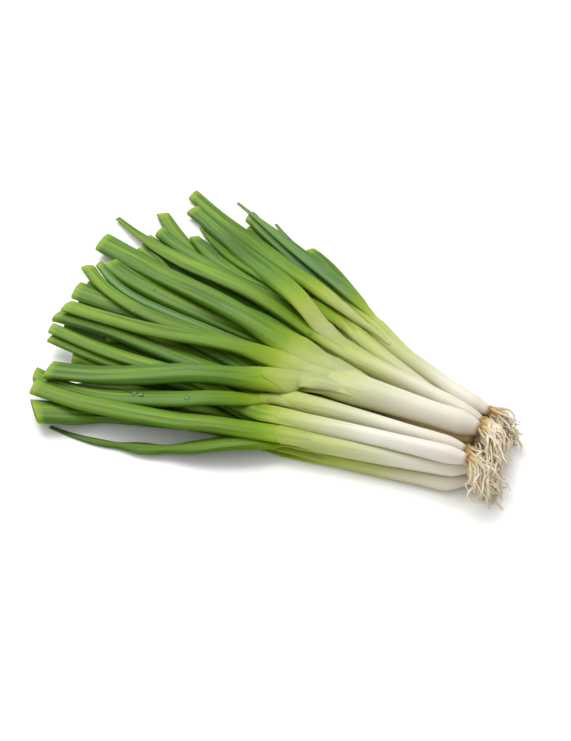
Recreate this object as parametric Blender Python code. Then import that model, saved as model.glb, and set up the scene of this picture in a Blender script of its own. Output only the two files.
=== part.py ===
"""Bunch of spring onions lying on a flat surface: white stems, cut green leaves and root tufts.

The sizes below are millimetres. The roots are at +X, the leaves fan out towards -X, and the surface
is Z = 0. Each stem, leaf and tuft is a stalk: a smooth line seen from above, with a width and a
thickness along it. The stalks are laid one after another, so each one rests on those below it.
"""
import math

import bpy
import numpy as np
from mathutils import Vector

MM = 0.001

# Clearances: between stalks side by side, and between a stem's end and what grows from it
GAP = 0.62
END_GAP = 0.5

# How finely the stalks are made: sides round the section, stations along the line
STEM_SIDES = 10
STEM_STATIONS = 14
LEAF_SIDES = 8
LEAF_STATIONS = 12
TUFT_SIDES = 8
TUFT_STATIONS = 6
FINE = 4
CURVE_SAMPLES = 200
CREASE = math.radians(50)

# How a stalk bends and hangs between what holds it up: length over which a bend fades, curvature
STEM_SPRING = (40.0, 0.004)
LEAF_SPRING = (25.0, 0.009)
TUFT_SPRING = (5.0, 0.15)
STEEPEST = 0.4
FOUNDATION = 1e-6
SETTLING_STEPS = 300

# How much the soft tissue gives where stalks touch, and how nearly level two stalks must meet end on
# for neither to be flattened
SOFTNESS = 0.9
SINK = 0.92
END_ON = 0.8

# Stem shape along its length
NECK_THICKNESS = 4.0
BASAL_PLATE = 0.5
BULB_AT = 0.10
SHAFT_AT = 0.32
NECK_FROM = 0.5

# Leaf bases at a neck: share of the neck's width they fill, and thickness of a single row of them
NECK_FILL = 0.86
SINGLE_ROW = 0.8

# Leaf shape along its length: the first and last parts of the line run straight out of the neck and
# straight to the tip
BASE_RUN = 0.25
TIP_RUN = 0.4
LEAF_WIDENS_BY = 0.28
LEAF_FLATNESS = 0.46
CUT_END = 0.93
CUT_FROM = 0.5
POINT_FROM = 0.45
POINT_TO = 1.05
POINT_END = 0.22

# Root tuft shape: reach outwards and to the side, and radius at the start, the middle and the end
TUFT_OUT = 18.5
TUFT_ASIDE = 11.0
TUFT_SIDEWAYS = np.array([0.25, -1.0]) / math.hypot(0.25, 1.0)
TUFT_OUT_RUN = 10.0
TUFT_SIDE_RUN = 5.0
TUFT_START = 2.6
TUFT_MIDDLE = 4.5
TUFT_END = 2.4
TUFT_FLATNESS = 0.85
TUFT_FULL_BY = 0.35
TUFT_THIN_FROM = 0.45

# Onions of each layer of the heap, lowest first
LAYERS = ((1, 2, 3, 4, 7), (6, 5, 8, 10), (9, 11))

# Stems. Root end and neck are (x, y), and a heading is degrees off -X towards +Y.
# Name: root end, neck, heading at root end, heading at neck, and half-widths of bulb, shaft and neck.
STEMS = {
    "onion_1": ((147, -29), (33, -57), -18, -13, 5.7, 4.6, 5.4),
    "onion_2": ((143, -17), (26, -38), -10, -10, 4.9, 4.6, 5.2),
    "onion_3": ((132, 3), (16, 13), -9, 14, 5.4, 5.0, 5.6),
    "onion_4": ((129, 26), (20, 50), -4, 24, 4.9, 4.7, 5.4),
    "onion_5": ((134, 28), (30, 58), 4, 30, 5.3, 4.8, 6.0),
    "onion_6": ((146, -26), (34, -55), -17, -12, 5.3, 4.9, 5.6),
    "onion_7": ((139, -7), (18, -19), -7, -4, 4.9, 4.6, 5.4),
    "onion_8": ((132, 15), (20, 31), 10, 14, 5.2, 5.0, 6.4),
    "onion_9": ((142, -28), (10, -48), -7, -12, 5.5, 5.2, 6.0),
    "onion_10": ((134, -12), (10, -31), -6, -12, 5.3, 5.0, 6.4),
    "onion_11": ((135, 4), (20, -3), -5, 2, 7.7, 7.4, 11.0),
}

# Leaves in the order they are laid. Layer they are laid with, onion, heading of the straight line from
# neck to tip, its length, turn of the tip off that line, width, and whether the end is cut or pointed.
LEAVES = (
    (1, 3, 4, 156, 4, 15.0, "cut"),
    (1, 7, -7.5, 162, 3, 13.0, "cut"),
    (1, 2, -9.5, 149, 0, 9.5, "cut"),
    (1, 2, 1, 135, -26, 11.0, "cut"),
    (1, 2, -22, 149, -7, 10.0, "cut"),
    (1, 4, 13.5, 114, 11, 10.0, "cut"),
    (1, 4, 26.5, 117, 0, 9.5, "cut"),
    (1, 4, 11, 167, 32, 10.5, "cut"),
    (1, 3, 14.5, 161, -2, 11.5, "cut"),
    (1, 4, 9, 132, 30, 10.5, "cut"),
    (1, 7, 1.5, 166, -12, 11.5, "cut"),
    (1, 7, 7, 171, 0, 10.5, "cut"),
    (1, 1, -14.5, 149, -35, 11.0, "cut"),
    (1, 1, -19.5, 158, -10, 15.0, "cut"),
    (1, 3, 1.5, 162, 10, 14.0, "cut"),
    (1, 3, 11.5, 156, 24, 10.5, "cut"),
    (1, 7, 2, 169, -9, 13.0, "cut"),
    (2, 6, -23.5, 149, 23, 10.5, "point"),
    (2, 5, 32.5, 82, -16, 7.5, "cut"),
    (2, 5, 28.5, 118, 1, 8.0, "point"),
    (2, 5, 22, 129, 4, 10.5, "cut"),
    (2, 5, 22, 143, 0, 9.5, "point"),
    (2, 8, 12, 160, 11, 10.5, "cut"),
    (2, 8, 22, 145, 17, 6.5, "cut"),
    (2, 10, -3.5, 158, -4, 11.5, "cut"),
    (2, 10, -13, 134, 12, 11.5, "cut"),
    (2, 8, 23, 161, -6, 10.5, "cut"),
    (2, 5, 17, 175, 1, 10.5, "cut"),
    (3, 9, -4, 150, 7, 9.5, "cut"),
    (3, 9, -2.5, 152, 6, 9.5, "cut"),
    (3, 10, -22, 151, 25, 10.5, "cut"),
    (3, 6, -15, 163, 13, 11.5, "cut"),
    (3, 11, 5, 171, 30, 6.5, "cut"),
    (3, 11, 3, 176, 31, 9.5, "cut"),
    (3, 11, 11.5, 187, 2, 13.5, "cut"),
    (3, 8, 9.5, 193, 13, 10.0, "point"),
    (3, 11, -11, 166, 9, 11.5, "cut"),
    (3, 11, -30.5, 164, 13, 14.0, "cut"),
)

# Leaves that leave their neck turned off the straight line to the tip, in degrees
BASE_TURNS = {"onion_6_leaf_1": -20, "onion_11_leaf_5": -22, "onion_10_leaf_3": -14}

# Finishes: base colour, roughness
FINISHES = {
    "stem": ((0.86, 0.87, 0.74), 0.35),
    "leaf": ((0.16, 0.33, 0.05), 0.45),
    "roots": ((0.62, 0.53, 0.37), 0.8),
}


class Stalk:
    """One stem, leaf or tuft: a line seen from above, half-widths, half-thicknesses and heights."""

    def __init__(self, name, finish, line, widths, thicknesses, sides, facing=None):
        self.name = name
        self.finish = finish
        self.line = line
        self.widths = widths
        self.thicknesses = thicknesses
        self.sides = sides
        self.facing = facing
        self.heights = thicknesses.copy()

    def points(self):
        return np.column_stack([self.line, self.heights])


def smoothstep(value, start, end):
    t = np.clip((value - start) / (end - start), 0, 1)
    return t * t * (3 - 2 * t)


def towards(heading):
    """Unit direction seen from above, for a heading in degrees off -X towards +Y."""
    angle = math.radians(heading)
    return np.array([-math.cos(angle), math.sin(angle)])


def curve(start, start_handle, end_handle, end, count):
    """A smooth line between two points, pulled towards two handles, with evenly spaced points."""
    t = np.linspace(0, 1, CURVE_SAMPLES)[:, None]
    s = 1 - t
    line = s**3 * start + 3 * s**2 * t * start_handle + 3 * s * t**2 * end_handle + t**3 * end
    steps = np.linalg.norm(np.diff(line, axis=0), axis=1)
    along = np.concatenate([[0], np.cumsum(steps)])
    wanted = np.linspace(0, along[-1], count)
    return np.column_stack([np.interp(wanted, along, line[:, axis]) for axis in (0, 1)])


def stem_stalk(name):
    root, neck, root_heading, neck_heading, bulb, shaft, neck_width = STEMS[name]
    root = np.array(root, float)
    neck = np.array(neck, float)
    third = np.linalg.norm(neck - root) / 3
    root_handle = root + third * towards(root_heading)
    neck_handle = neck - third * towards(neck_heading)
    count = (STEM_STATIONS - 1) * FINE + 1
    line = curve(root, root_handle, neck_handle, neck, count)
    t = np.linspace(0, 1, count)
    radius = bulb + (shaft - bulb) * smoothstep(t, BULB_AT, SHAFT_AT)
    radius *= BASAL_PLATE + (1 - BASAL_PLATE) * np.sqrt(smoothstep(t, 0, BULB_AT))
    opening = smoothstep(t, NECK_FROM, 1)
    widths = radius + (neck_width - shaft) * opening
    thicknesses = radius + (NECK_THICKNESS - shaft) * opening
    return Stalk(name + "_stem", "stem", line, widths, thicknesses, STEM_SIDES)


def leaf_stalk(name, start, neck_heading, tip, turn, base_width, base_thickness, width, end):
    chord = tip - start
    reach = np.linalg.norm(chord)
    heading = math.degrees(math.atan2(chord[1], -chord[0]))
    base_handle = start + BASE_RUN * reach * towards(heading + BASE_TURNS.get(name, 0))
    tip_handle = tip - TIP_RUN * reach * towards(heading + turn)
    count = (LEAF_STATIONS - 1) * FINE + 1
    line = curve(start, base_handle, tip_handle, tip, count)
    t = np.linspace(0, 1, count)
    open_out = smoothstep(t, 0, LEAF_WIDENS_BY)
    widths = base_width + (width / 2 - base_width) * open_out
    thicknesses = base_thickness + (width / 2 * LEAF_FLATNESS - base_thickness) * open_out
    if end == "point":
        taper = 1 - (1 - POINT_END) * smoothstep(t, POINT_FROM, POINT_TO)
    else:
        taper = 1 - (1 - CUT_END) * smoothstep(t, CUT_FROM, 1)
    facing = towards(neck_heading)
    return Stalk(name, "leaf", line, widths * taper, thicknesses * taper, LEAF_SIDES, facing)


def tuft_stalk(name, stem):
    out = stem.line[0] - stem.line[1]
    out = out / np.linalg.norm(out)
    start = stem.line[0] + out * END_GAP
    end = start + out * TUFT_OUT + TUFT_SIDEWAYS * TUFT_ASIDE
    start_handle = start + out * TUFT_OUT_RUN
    end_handle = end - TUFT_SIDEWAYS * TUFT_SIDE_RUN
    count = (TUFT_STATIONS - 1) * FINE + 1
    line = curve(start, start_handle, end_handle, end, count)
    t = np.linspace(0, 1, count)
    swell = TUFT_START + (TUFT_MIDDLE - TUFT_START) * smoothstep(t, 0, TUFT_FULL_BY)
    radius = swell + (TUFT_END - TUFT_MIDDLE) * smoothstep(t, TUFT_THIN_FROM, 1)
    return Stalk(name + "_roots", "roots", line, radius, radius * TUFT_FLATNESS, TUFT_SIDES, out)


def nearest(point, other):
    """Distance from a point to another stalk's line seen from above, and the place along it."""
    a = other.line[:-1]
    step = other.line[1:] - a
    t = np.clip(((point - a) * step).sum(1) / (step * step).sum(1), 0, 1)
    distance = np.linalg.norm(a + step * t[:, None] - point, axis=1)
    k = int(distance.argmin())
    return distance[k], k + t[k]


def at(values, place):
    k = min(int(place), len(values) - 2)
    return values[k] + (values[k + 1] - values[k]) * (place - k)


def clearance(stalk, laid, skipped):
    """The lowest height of each fine station that clears the surface and every stalk already laid."""
    lowest = stalk.thicknesses * SINK
    for other in laid:
        if other in skipped:
            continue
        for k, point in enumerate(stalk.line):
            distance, place = nearest(point, other)
            both = stalk.widths[k] + at(other.widths, place)
            if distance >= both:
                continue
            thick = (stalk.thicknesses[k] + at(other.thicknesses, place)) * SOFTNESS + GAP
            height = at(other.heights, place) + thick * math.sqrt(1 - (distance / both) ** 2)
            lowest[k] = max(lowest[k], height)
    return lowest


def settle(lowest, spacing, stiff_length, hang, fixed):
    """Heights of a slightly heavy, springy rod that lies on the lowest allowed heights.

    A bend fades over the stiff length, and a free stretch curves down by hang for each millimetre.
    fixed gives the heights of the first stations, where the rod grows from.
    """
    count = len(lowest)
    slope = (np.eye(count, k=1) - np.eye(count))[:-1] / spacing
    bend = (slope[1:] - slope[:-1]) / spacing
    stiffness = (slope.T @ slope + stiff_length**2 * bend.T @ bend) * spacing + FOUNDATION * np.eye(count)
    load = np.full(count, hang * spacing)
    heights = lowest.copy()
    heights[: len(fixed)] = fixed
    grown = np.arange(count) < len(fixed)
    held = np.zeros(count, bool)
    for _ in range(SETTLING_STEPS):
        free = ~(held | grown)
        right = -load[free] - stiffness[np.ix_(free, ~free)] @ heights[~free]
        heights[free] = np.linalg.solve(stiffness[np.ix_(free, free)], right)
        push = stiffness @ heights + load
        sunk = np.where(free, lowest - heights, 0)
        pulled = np.where(held, -push, 0)
        if sunk.max() > 1e-4:
            held[int(sunk.argmax())] = True
            heights[held] = lowest[held]
        elif pulled.max() > 1e-7:
            held[int(pulled.argmax())] = False
        else:
            break
    return np.where(grown, heights, np.maximum(heights, lowest))


def lay(stalk, laid, spring, fixed=(), skipped=()):
    spacing = np.linalg.norm(stalk.line[1] - stalk.line[0])
    lowest = clearance(stalk, laid, skipped)
    if fixed:
        lowest = np.minimum(lowest, fixed[0] + STEEPEST * spacing * np.arange(len(lowest)))
    stalk.heights = settle(lowest, spacing, *spring, fixed)
    laid.append(stalk)


def lay_leaf(row, stems, laid):
    """One leaf leaves its onion's neck in the lower or the upper of two rows."""
    _, number, heading, reach, turn, width, end = LEAVES[row]
    name = f"onion_{number}"
    stem = stems[name]
    neck_heading = STEMS[name][3]
    neck_width = STEMS[name][6]
    mine = [r for r in range(len(LEAVES)) if LEAVES[r][1] == number]
    lower = mine[: len(mine) // 2]
    upper = mine[len(lower) :]
    level = lower if row in lower else upper
    places = sorted(level, key=lambda r: LEAVES[r][2])
    pitch = 2 * neck_width * NECK_FILL / len(level)
    across = (places.index(row) - (len(level) - 1) / 2) * pitch
    base_width = min(pitch / 2 - GAP / 2, width / 2)
    if upper:
        base_thickness = NECK_THICKNESS / 2 - GAP / 2
        rise = NECK_THICKNESS / 2 * (-1 if level is lower else 1)
    else:
        base_thickness = NECK_THICKNESS * SINGLE_ROW
        rise = 0.0
    out = towards(neck_heading)
    left = np.array([out[1], -out[0]])
    start = stem.line[-1] + out * END_GAP + left * across
    tip = stem.line[-1] + reach * towards(heading)
    count = mine.index(row) + 1
    stalk = leaf_stalk(
        f"{name}_leaf_{count}", start, neck_heading, tip, turn, base_width, base_thickness, width, end
    )
    height = stem.heights[-1] + rise
    lay(stalk, laid, LEAF_SPRING, (height, height), (stem,))


def lay_tufts(stems, laid):
    for name, stem in stems.items():
        stalk = tuft_stalk(name, stem)
        start = stem.heights[0]
        lay(stalk, laid, TUFT_SPRING, (start, start), (stem,))


def frames(stalk):
    """At each station: the point, the direction along, across and up, and the two half-sizes."""
    points = stalk.points()[::FINE]
    along = np.gradient(stalk.points(), axis=0)[::FINE]
    along /= np.linalg.norm(along, axis=1)[:, None]
    if stalk.facing is not None:
        along[0] = (*stalk.facing, 0)
    across = np.column_stack([along[:, 1], -along[:, 0], np.zeros(len(along))])
    across /= np.linalg.norm(across, axis=1)[:, None]
    up = np.cross(across, along)
    return points, along, across, up, stalk.widths[::FINE], stalk.thicknesses[::FINE]


def ring_points(stalk):
    points, _, across, up, widths, thicknesses = frames(stalk)
    angles = (np.arange(stalk.sides) + 0.5) * 2 * math.pi / stalk.sides - math.pi / 2
    rings = []
    for k in range(len(points)):
        ring = points[k] + np.outer(np.cos(angles) * widths[k], across[k])
        rings.append(ring + np.outer(np.sin(angles) * thicknesses[k], up[k]))
    return np.array(rings)


def meeting(point, path):
    """The place along a path that is nearest to a point, that nearest point and the path's direction."""
    start = path[:-1]
    step = path[1:] - start
    t = np.clip(((point - start) * step).sum(1) / (step * step).sum(1), 0, 1)
    near = start + step * t[:, None]
    m = int(np.linalg.norm(near - point, axis=1).argmin())
    return m + t[m], near[m], step[m] / np.linalg.norm(step[m])


def squeeze(ring, k, frame, other, path):
    """One ring flattened against the plane halfway to another stalk, where the two would meet."""
    points, along, across, up, widths, thicknesses = frame
    place, near, direction = meeting(points[k], path)
    distance = np.linalg.norm(near - points[k])
    normal = (near - points[k]) / distance
    if abs(normal @ along[k]) > END_ON:
        return ring
    side = np.array([direction[1], -direction[0], 0])
    side /= np.linalg.norm(side)
    top = np.cross(side, direction)
    reach = math.hypot(widths[k] * (normal @ across[k]), thicknesses[k] * (normal @ up[k]))
    other_width = at(other.widths, place) * (normal @ side)
    other_thickness = at(other.thicknesses, place) * (normal @ top)
    other_reach = math.hypot(other_width, other_thickness)
    if reach + other_reach + GAP <= distance:
        return ring
    plane = distance * reach / (reach + other_reach) - GAP / 2
    beyond = (ring - points[k]) @ normal - plane
    return ring - np.outer(np.maximum(beyond, 0), normal)


def press(stalks):
    """Soft tissue gives way where two stalks meet: both are flattened against one plane between them."""
    full = {stalk.name: ring_points(stalk) for stalk in stalks}
    low = {name: rings.min((0, 1)) - GAP for name, rings in full.items()}
    high = {name: rings.max((0, 1)) + GAP for name, rings in full.items()}
    pressed = {}
    for stalk in stalks:
        frame = frames(stalk)
        rings = full[stalk.name].copy()
        for other in stalks:
            apart = (low[other.name] > high[stalk.name]) | (high[other.name] < low[stalk.name])
            if other is stalk or apart.any():
                continue
            path = other.points()
            for k in range(len(rings)):
                rings[k] = squeeze(rings[k], k, frame, other, path)
        rings[..., 2] = np.maximum(rings[..., 2], 0)
        pressed[stalk.name] = rings
    return pressed


def body(rings):
    """Corners and faces of one closed body through the rings, with a fan at each end."""
    count, sides, _ = rings.shape
    corners = rings.reshape(-1, 3)
    ends = np.array([rings[0].mean(0), rings[-1].mean(0)])
    corners = np.vstack([corners, ends])
    faces = []
    for k in range(count - 1):
        for m in range(sides):
            n = (m + 1) % sides
            faces.append((k * sides + m, (k + 1) * sides + m, (k + 1) * sides + n, k * sides + n))
    first = count * sides
    last = first + 1
    for m in range(sides):
        n = (m + 1) % sides
        faces.append((first, m, n))
        faces.append((last, (count - 1) * sides + n, (count - 1) * sides + m))
    return corners, faces


def finish_material(name):
    colour, roughness = FINISHES[name]
    material = bpy.data.materials.new(name)
    material.use_nodes = True
    shader = material.node_tree.nodes["Principled BSDF"]
    shader.inputs["Base Color"].default_value = (*colour, 1)
    shader.inputs["Roughness"].default_value = roughness
    shader.inputs["Metallic"].default_value = 0
    return material


def build_stalks():
    """Every stalk: layer by layer the stems and then their leaves, and at the end the root tufts."""
    laid = []
    stems = {}
    for layer, numbers in enumerate(LAYERS, 1):
        for number in numbers:
            name = f"onion_{number}"
            stems[name] = stem_stalk(name)
            lay(stems[name], laid, STEM_SPRING)
        for row in range(len(LEAVES)):
            if LEAVES[row][0] == layer:
                lay_leaf(row, stems, laid)
    lay_tufts(stems, laid)
    return laid


def build_objects(stalks):
    """One object for each stalk, with the middle of the whole bunch above the origin."""
    pressed = press(stalks)
    every = np.vstack([rings.reshape(-1, 3) for rings in pressed.values()])
    centre = (every.min(0) + every.max(0)) / 2
    centre[2] = every[:, 2].min()
    materials = {name: finish_material(name) for name in FINISHES}
    for stalk in stalks:
        corners, faces = body(pressed[stalk.name])
        mesh = bpy.data.meshes.new(stalk.name)
        mesh.from_pydata([Vector(c) for c in (corners - centre) * MM], [], faces)
        mesh.shade_smooth()
        mesh.set_sharp_from_angle(angle=CREASE)
        mesh.materials.append(materials[stalk.finish])
        item = bpy.data.objects.new(stalk.name, mesh)
        bpy.context.scene.collection.objects.link(item)
    return centre


for old in list(bpy.data.objects):
    bpy.data.objects.remove(old)
STALKS = build_stalks()
CENTRE = build_objects(STALKS)
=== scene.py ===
# %% [markdown]
# A bunch of spring onions lies loose on a pale surface. Each onion is one young plant: a tuft of roots, a
# white stem that is really a roll of leaf sheaths, and hollow green leaves whose ends have been cut.
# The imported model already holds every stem, leaf and root tuft in its place as a plain solid. This script
# reads those solids, draws the real skin over each of them, and gives every skin its material.

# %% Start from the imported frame
import math

import bmesh
import bpy
import numpy as np
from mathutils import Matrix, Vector
from mathutils.bvhtree import BVHTree


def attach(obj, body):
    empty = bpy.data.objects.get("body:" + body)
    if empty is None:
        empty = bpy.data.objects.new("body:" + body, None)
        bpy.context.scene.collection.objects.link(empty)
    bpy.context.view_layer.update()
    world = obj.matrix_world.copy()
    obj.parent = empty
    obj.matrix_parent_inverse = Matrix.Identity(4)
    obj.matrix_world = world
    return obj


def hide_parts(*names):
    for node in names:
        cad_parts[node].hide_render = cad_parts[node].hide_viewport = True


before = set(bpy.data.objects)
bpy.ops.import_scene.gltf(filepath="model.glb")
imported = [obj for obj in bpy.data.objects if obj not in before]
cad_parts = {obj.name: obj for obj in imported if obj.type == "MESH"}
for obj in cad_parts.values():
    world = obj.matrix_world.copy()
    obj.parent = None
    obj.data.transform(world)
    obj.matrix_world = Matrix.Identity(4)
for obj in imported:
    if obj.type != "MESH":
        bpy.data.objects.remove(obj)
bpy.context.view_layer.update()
MM = 0.001
print("solids in the frame:", len(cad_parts))

# %% [markdown]
# Colours are written as sRGB hex values, the way a colour picker shows them. Blender's shaders want linear
# light, so one function converts them. Another small function adds a node. Its settings are attributes of
# the node, and each of its inputs is a value, an output to link, or a node whose first output is linked.


# %% Colour and node helpers
def linear(colour):
    """Linear red, green, blue and alpha of an sRGB hex colour."""
    parts = [int(colour[k : k + 2], 16) / 255 for k in (1, 3, 5)]
    return (*[p / 12.92 if p <= 0.04045 else ((p + 0.055) / 1.055) ** 2.4 for p in parts], 1.0)


def add_node(tree, kind, inputs=None, **settings):
    """A new node with its settings, and its inputs given as values, outputs or other nodes."""
    node = tree.nodes.new(kind)
    for name, value in settings.items():
        setattr(node, name, value)
    for key, value in (inputs or {}).items():
        if isinstance(value, bpy.types.Node):
            value = next(output for output in value.outputs if output.enabled)
        if isinstance(value, bpy.types.NodeSocket):
            tree.links.new(value, node.inputs[key])
        else:
            node.inputs[key].default_value = value
    return node


def new_material(name):
    """A material without any nodes, and its tree."""
    material = bpy.data.materials.new(name)
    material.use_nodes = True
    material.node_tree.nodes.clear()
    return material, material.node_tree


def set_stops(ramp, stops):
    """Gives a colour ramp its stops, each a position and a colour."""
    elements = ramp.color_ramp.elements
    while len(elements) < len(stops):
        elements.new(0.5)
    for element, (position, colour) in zip(elements, stops):
        element.position = position
        element.color = linear(colour)


# %% [markdown]
# The photograph was taken with a long lens from above and to one side. A long lens from far away keeps the
# near and the far leaves about the same size, which is how the bunch looks here.

# %% Camera
CAMERA_TURN = math.radians(30)
CAMERA_HEIGHT = math.radians(48)
CAMERA_DISTANCE = 1.12
LENS = 85
SENSOR = 36
LOOK_AT = Vector((0.0005, 0.0003, 0))

camera_data = bpy.data.cameras.new("camera")
camera_data.lens = LENS
camera_data.sensor_width = SENSOR
camera = bpy.data.objects.new("camera", camera_data)
flat = math.cos(CAMERA_HEIGHT)
back = Vector((math.sin(CAMERA_TURN) * flat, -math.cos(CAMERA_TURN) * flat, math.sin(CAMERA_HEIGHT)))
camera.location = LOOK_AT + back * CAMERA_DISTANCE
camera.rotation_euler = (-back).to_track_quat("-Z", "Y").to_euler()
bpy.context.scene.collection.objects.link(camera)
bpy.context.scene.camera = camera
print("camera in mm:", [round(v / MM) for v in camera.location])

# %% [markdown]
# The surface is plain and nearly white, and it runs on without an edge. A large soft light from the upper
# left and behind makes the highlights along the leaves and the soft shadow under the near side. The white
# surroundings fill the shadows, as white walls do in a small photo studio.

# %% Surface and light
SURFACE_COLOUR = "#FAFAF9"
SURFACE_HALF = 6.0
SURROUNDINGS = 0.72

# Matt paper scatters light evenly, so it shows no highlight.
surface_material, tree = new_material("matt white paper")
shader = add_node(tree, "ShaderNodeBsdfPrincipled", {"Base Color": linear(SURFACE_COLOUR), "Roughness": 0.9})
add_node(tree, "ShaderNodeOutputMaterial", {"Surface": shader})
surface_mesh = bpy.data.meshes.new("surface")
corners = [(-1, -1), (1, -1), (1, 1), (-1, 1)]
surface_mesh.from_pydata([(x * SURFACE_HALF, y * SURFACE_HALF, 0) for x, y in corners], [], [(0, 1, 2, 3)])
surface_mesh.materials.append(surface_material)
surface = bpy.data.objects.new("surface", surface_mesh)
bpy.context.scene.collection.objects.link(surface)

world = bpy.data.worlds.new("white surroundings")
world.use_nodes = True
world.node_tree.nodes.clear()
sky = {"Color": linear("#FFFFFF"), "Strength": SURROUNDINGS}
background = add_node(world.node_tree, "ShaderNodeBackground", sky)
add_node(world.node_tree, "ShaderNodeOutputWorld", {"Surface": background})
bpy.context.scene.world = world
bpy.context.scene.view_settings.view_transform = "Standard"


def soft_light(name, place, size, power):
    """A square area light, size in metres and power in watts, that shines at the middle of the bunch."""
    data = bpy.data.lights.new(name, "AREA")
    data.size = size
    data.energy = power
    light = bpy.data.objects.new(name, data)
    light.location = place
    light.rotation_euler = (-Vector(place)).to_track_quat("-Z", "Y").to_euler()
    bpy.context.scene.collection.objects.link(light)


soft_light("softbox behind", (-0.85, 0.6, 1.6), size=1.4, power=30)
soft_light("softbox left", (-1.3, -0.3, 1.3), size=0.9, power=5)

# %% [markdown]
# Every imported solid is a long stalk. Cutting it with planes across its length gives its middle line and its
# outline at each cut, and smooth curves through those cuts give back a skin without the flat facets.
# A cut is stored as a row: a centre, a direction sideways, a direction upwards, and the distance from the
# centre to the skin at evenly spaced angles. The angles start underneath, so a seam there is out of sight.

# %% Cutting a stalk
AROUND = 40
ANGLES = -math.pi / 2 + np.arange(AROUND) * 2 * math.pi / AROUND
STEP = 5 * MM
END_INSET = 0.6 * MM
CUT_REACH = 25 * MM
END_REACH = 15 * MM
START_REACH = 12 * MM
FEWEST_HITS = 4
CORNER_ROUNDING = math.radians(11)


def unit(vector):
    """The vector with a length of one."""
    return vector / np.linalg.norm(vector)


def across_and_up(direction):
    """Level direction across a stalk, and the direction at right angles to it and the stalk."""
    side = unit(np.array([direction[1], -direction[0], 0.0]))
    return side, np.cross(side, direction)


def cut(corners, triangles, point, direction):
    """The points where a plane crosses the edges of a mesh near a point."""
    distances = (corners - point) @ direction
    hits = []
    for i, j in ((0, 1), (1, 2), (2, 0)):
        a = triangles[:, i]
        b = triangles[:, j]
        crossing = distances[a] * distances[b] < 0
        a = a[crossing]
        b = b[crossing]
        share = (distances[a] / (distances[a] - distances[b]))[:, None]
        hits.append(corners[a] + (corners[b] - corners[a]) * share)
    hits = np.vstack(hits)
    return hits[np.linalg.norm(hits - point, axis=1) < CUT_REACH]


def middle(hits, point, direction):
    """The middle of an outline, by its widest and tallest extents."""
    side, up = across_and_up(direction)
    sideways = (hits - point) @ side
    upwards = (hits - point) @ up
    return point + side * (sideways.min() + sideways.max()) / 2 + up * (upwards.min() + upwards.max()) / 2


def ahead_of(corners, point, direction):
    """How far ahead of a point the corners near it are."""
    near = corners[np.linalg.norm(corners - point, axis=1) < END_REACH]
    return (near - point) @ direction


def follow(corners, triangles, start, direction):
    """Middle points of a stalk from a start to its end."""
    line = [start]
    while True:
        ahead = line[-1] + direction * STEP
        hits = cut(corners, triangles, ahead, direction)
        if len(hits) < FEWEST_HITS:
            break
        line.append(middle(hits, ahead, direction))
        direction = unit(unit(line[-1] - line[-2]) + direction)
    line.append(line[-1] + direction * ahead_of(corners, line[-1], direction).max())
    return line


def rounded(radii):
    """The outline with its corners rounded off."""
    turn = np.minimum(np.arange(AROUND), AROUND - np.arange(AROUND)) * 2 * math.pi / AROUND
    weight = np.exp(-((turn / CORNER_ROUNDING) ** 2) / 2)
    spectrum = np.fft.rfft(radii) * np.fft.rfft(weight / weight.sum()).real
    return np.fft.irfft(spectrum, AROUND)


def read_stalk(node, towards_x, count, grows_along=None):
    """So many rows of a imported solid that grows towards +X (1) or -X (-1), and its length."""
    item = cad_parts[node]
    item.data.calc_loop_triangles()
    corners = np.array([item.matrix_world @ v.co for v in item.data.vertices])
    triangles = np.array([t.vertices[:] for t in item.data.loop_triangles])
    start = (corners.min(0) + corners.max(0)) / 2
    direction = np.array([towards_x, 0.0, 0.0])
    nearby = corners[np.abs(corners[:, 0] - start[0]) < START_REACH]
    start[1:] = (nearby[:, 1:].min(0) + nearby[:, 1:].max(0)) / 2
    start = middle(cut(corners, triangles, start, direction), start, direction)
    to_base = follow(corners, triangles, start, -direction)
    to_end = follow(corners, triangles, start, direction)
    line = np.array(to_base[:0:-1] + to_end)
    along = np.concatenate([[0], np.cumsum(np.linalg.norm(np.diff(line, axis=0), axis=1))])
    wanted = np.linspace(0, along[-1], count)
    points = np.column_stack([np.interp(wanted, along, line[:, k]) for k in range(3)])
    directions = np.gradient(points, axis=0)
    if grows_along is not None:
        directions[0] = grows_along
    rows = []
    for k in range(count):
        direction = unit(directions[k])
        side, up = across_and_up(direction)
        inset = END_INSET * ((k == 0) - (k == count - 1))
        if k == 0 and grows_along is not None:
            inset += ahead_of(corners, points[0], direction).min()
        at = points[k] + direction * inset
        hits = cut(corners, triangles, at, direction)
        centre = middle(hits, at, direction)
        sideways = (hits - centre) @ side
        upwards = (hits - centre) @ up
        turns = np.arctan2(upwards, sideways)
        radii = np.interp(ANGLES, turns, np.hypot(sideways, upwards), period=2 * math.pi)
        back_out = direction * math.copysign(min(abs(inset), END_INSET), inset)
        rows.append(np.concatenate([centre - back_out, side, up, rounded(radii)]))
    return np.array(rows), along[-1]


def refine(rows, count):
    """A smooth curve through the rows, as count evenly spaced rows."""
    ends = np.vstack([2 * rows[0] - rows[1], rows, 2 * rows[-1] - rows[-2]])
    place = np.linspace(0, len(rows) - 1, count)
    k = np.minimum(place.astype(int), len(rows) - 2)
    t = (place - k)[:, None]
    a, b, c, d = ends[k], ends[k + 1], ends[k + 2], ends[k + 3]
    return (2 * b + (c - a) * t + (2 * a - 5 * b + 4 * c - d) * t**2 + (3 * b - a - 3 * c + d) * t**3) / 2


def smoothstep(value, start, end):
    """A share that rises softly from 0 at the start to 1 at the end."""
    t = np.clip((value - start) / (end - start), 0, 1)
    return t * t * (3 - 2 * t)


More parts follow.
